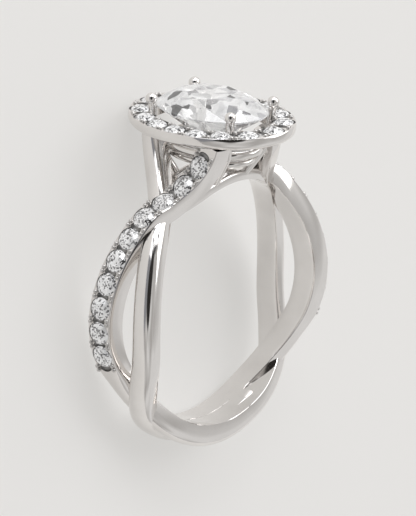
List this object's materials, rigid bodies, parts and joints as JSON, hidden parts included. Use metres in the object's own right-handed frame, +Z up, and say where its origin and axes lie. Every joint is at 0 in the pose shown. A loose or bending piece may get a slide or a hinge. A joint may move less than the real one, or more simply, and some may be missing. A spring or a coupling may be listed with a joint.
{
  "type": "twisted shank ring",
  "caption": "Finger ring of interlaced plain and stone-set strands that rise to an oval stone halo around a prong-set oval centre stone, lying on its side.",
  "frame": {"origin": "centre of the bounding box's bottom face, on the surface that the ring lies on", "axes": "+Y from the base of the shank towards the head, +Z up, away from the surface; the finger hole's axis leans from +Z towards -Y by 11.15 degrees, because the wide halo lifts the head"},
  "size_m": [0.0204, 0.025, 0.0119],
  "materials": {
    "white_metal": "polished",
    "centre_stone": "gloss",
    "small_stones": "gloss"
  },
  "bodies": {
    "root": {"mounting": "white_metal", "centre_stone": "centre_stone", "halo_stone_1": "small_stones", "halo_stone_2": "small_stones", "halo_stone_3": "small_stones", "halo_stone_4": "small_stones", "halo_stone_5": "small_stones", "halo_stone_6": "small_stones", "halo_stone_7": "small_stones", "halo_stone_8": "small_stones", "halo_stone_9": "small_stones", "halo_stone_10": "small_stones", "halo_stone_11": "small_stones", "halo_stone_12": "small_stones", "halo_stone_13": "small_stones", "halo_stone_14": "small_stones", "halo_stone_15": "small_stones", "halo_stone_16": "small_stones", "left_stone_1": "small_stones", "left_stone_2": "small_stones", "left_stone_3": "small_stones", "left_stone_4": "small_stones", "left_stone_5": "small_stones", "left_stone_6": "small_stones", "left_stone_7": "small_stones", "left_stone_8": "small_stones", "left_stone_9": "small_stones", "left_stone_10": "small_stones", "right_stone_1": "small_stones", "right_stone_2": "small_stones", "right_stone_3": "small_stones", "right_stone_4": "small_stones", "right_stone_5": "small_stones", "right_stone_6": "small_stones", "right_stone_7": "small_stones", "right_stone_8": "small_stones", "right_stone_9": "small_stones", "right_stone_10": "small_stones"}
  },
  "joints": []
}
